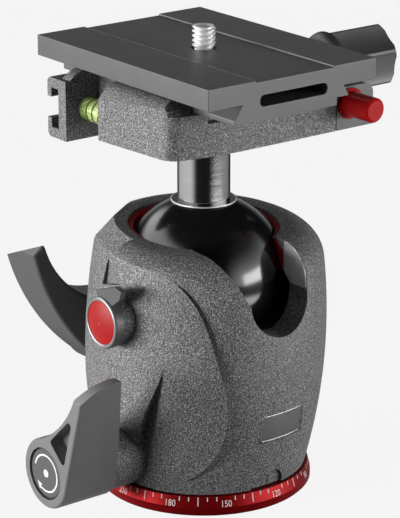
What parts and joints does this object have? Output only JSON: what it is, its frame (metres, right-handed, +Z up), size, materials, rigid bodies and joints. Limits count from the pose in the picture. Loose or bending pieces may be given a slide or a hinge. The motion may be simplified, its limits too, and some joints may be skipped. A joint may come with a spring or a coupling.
{
  "type": "tripod ball head",
  "caption": "Tripod ball head with a panning degree base, a portrait notch, ball and pan lock levers, a friction knob and a dovetail quick-release clamp with its camera plate.",
  "frame": {"origin": "centre of the base's underside, on the axis of the tripod screw hole", "axes": "+Z up along the pan axis; -Y is the front with the portrait notch, +Y the back with the ball lock lever, -X the side with the pan lock lever and the friction knob, +X the side with the clamp knob"},
  "size_m": [0.1193, 0.0954, 0.1297],
  "materials": {
    "cast_black": "grainy black coating",
    "anodised_black": "satin anodised",
    "red_anodised": "satin anodised",
    "red_plastic": "glossy",
    "ball_black": "polished",
    "bright_steel": "polished",
    "steel": "turned",
    "brass": "turned",
    "grey_aluminium": "turned",
    "black_plastic": "fine grain",
    "white_plastic": "smooth",
    "red_liner": "smooth",
    "vial": "clear, yellow-green liquid"
  },
  "bodies": {
    "base": {"pan_base": "red_anodised", "base_thread_insert": "steel", "pan_retainer": "steel", "retainer_screws": "steel", "glide_washer": "white_plastic"},
    "housing": {"body_casting": "cast_black", "badge_plate": "anodised_black", "bearing_floor": "grey_aluminium", "thrust_washer": "white_plastic", "ball_liner": "red_liner", "lock_bush": "brass", "friction_pad": "white_plastic"},
    "ball_lock": {"ball_lock_lever": "black_plastic", "ball_lock_shaft": "steel", "ball_lock_cap": "black_plastic"},
    "wedge": {"lock_wedge": "steel"},
    "cup": {"lower_cup": "white_plastic"},
    "pan_lock": {"pan_lock_lever": "black_plastic", "pan_lock_screw": "steel", "pan_lock_cap": "black_plastic"},
    "pan_pad": {"pan_lock_pad": "brass"},
    "friction_control": {"friction_knob": "black_plastic", "friction_cap": "red_plastic", "friction_screw": "steel"},
    "ball_centre": {"ball_core": "ball_black"},
    "ball_and_stem": {"ball": "ball_black", "ball_collar": "ball_black", "stem": "bright_steel", "stem_bolt": "steel"},
    "clamp": {"clamp_body": "cast_black", "guide_pins": "steel", "side_vial": "vial", "rear_vial": "vial"},
    "jaw": {"movable_jaw": "anodised_black", "button_bush": "red_anodised"},
    "knob": {"clamp_knob": "black_plastic", "clamp_screw": "steel", "knob_washer": "steel"},
    "button": {"release_button": "red_plastic"},
    "plate": {"qr_plate": "anodised_black"},
    "screw": {"camera_screw": "bright_steel"}
  },
  "joints": [
    {"name": "pan", "type": "hinge", "parent": "base", "child": "housing", "pos_m": [0, 0, 0.0055], "axis": [0, 0, 1], "continuous": true},
    {"name": "ball_side_tilt", "type": "hinge", "parent": "housing", "child": "ball_centre", "pos_m": [0, 0, 0.0592], "axis": [0, 1, 0], "range_deg": [-24, 24]},
    {"name": "ball_front_tilt", "type": "hinge", "parent": "ball_centre", "child": "ball_and_stem", "pos_m": [0, 0, 0.0592], "axis": [1, 0, 0], "range_deg": [-21, 90]},
    {"name": "ball_spin", "type": "hinge", "parent": "ball_and_stem", "child": "clamp", "pos_m": [0, 0, 0.0592], "axis": [0, 0, 1], "continuous": true},
    {"name": "ball_lock_turn", "type": "hinge", "parent": "housing", "child": "ball_lock", "pos_m": [0, 0.045, 0.0313], "axis": [0, 1, 0], "range_deg": [-75, 20]},
    {"name": "lock_wedge_draw", "type": "slide", "parent": "housing", "child": "wedge", "axis": [0, 1, 0], "range_m": [-0.00006944, 0.00026042]},
    {"name": "lower_cup_lift", "type": "slide", "parent": "housing", "child": "cup", "axis": [0, 0, 1], "range_m": [-0.00003, 0.0001]},
    {"name": "pan_lock_turn", "type": "hinge", "parent": "housing", "child": "pan_lock", "pos_m": [-0.045, 0, 0.014], "axis": [1, 0, 0], "range_deg": [-60, 60]},
    {"name": "pan_pad_press", "type": "slide", "parent": "housing", "child": "pan_pad", "axis": [1, 0, 0], "range_m": [-0.0002, 0.0002]},
    {"name": "friction_turn", "type": "hinge", "parent": "housing", "child": "friction_control", "pos_m": [-0.034, -0.0024, 0.054], "axis": [1, 0, 0], "range_deg": [-180, 180]},
    {"name": "jaw_slide", "type": "slide", "parent": "clamp", "child": "jaw", "axis": [1, 0, 0], "range_m": [0, 0.0032]},
    {"name": "clamp_knob_turn", "type": "hinge", "parent": "jaw", "child": "knob", "pos_m": [0.054, 0.0036, 0.1109], "axis": [1, 0, 0], "range_deg": [0, 1485]},
    {"name": "release_button_press", "type": "slide", "parent": "jaw", "child": "button", "axis": [0, 1, 0], "range_m": [0, 0.003], "stiffness_N_per_m": 500, "springref_m": -0.002},
    {"name": "plate_slide", "type": "slide", "parent": "clamp", "child": "plate", "axis": [0, 1, 0], "range_m": [-0.015, 0.015]},
    {"name": "camera_screw_turn", "type": "hinge", "parent": "plate", "child": "screw", "pos_m": [0, 0, 0.12], "axis": [0, 0, 1], "continuous": true}
  ],
  "couplings": [
    {"joint": "ball_lock_turn", "follows": "lock_wedge_draw", "rad_per_m": -5026.5},
    {"joint": "lower_cup_lift", "follows": "lock_wedge_draw", "ratio": 0.26795},
    {"joint": "pan_pad_press", "follows": "pan_lock_turn", "m_per_rad": 0.00015915},
    {"joint": "clamp_knob_turn", "follows": "jaw_slide", "rad_per_m": 7854}
  ]
}
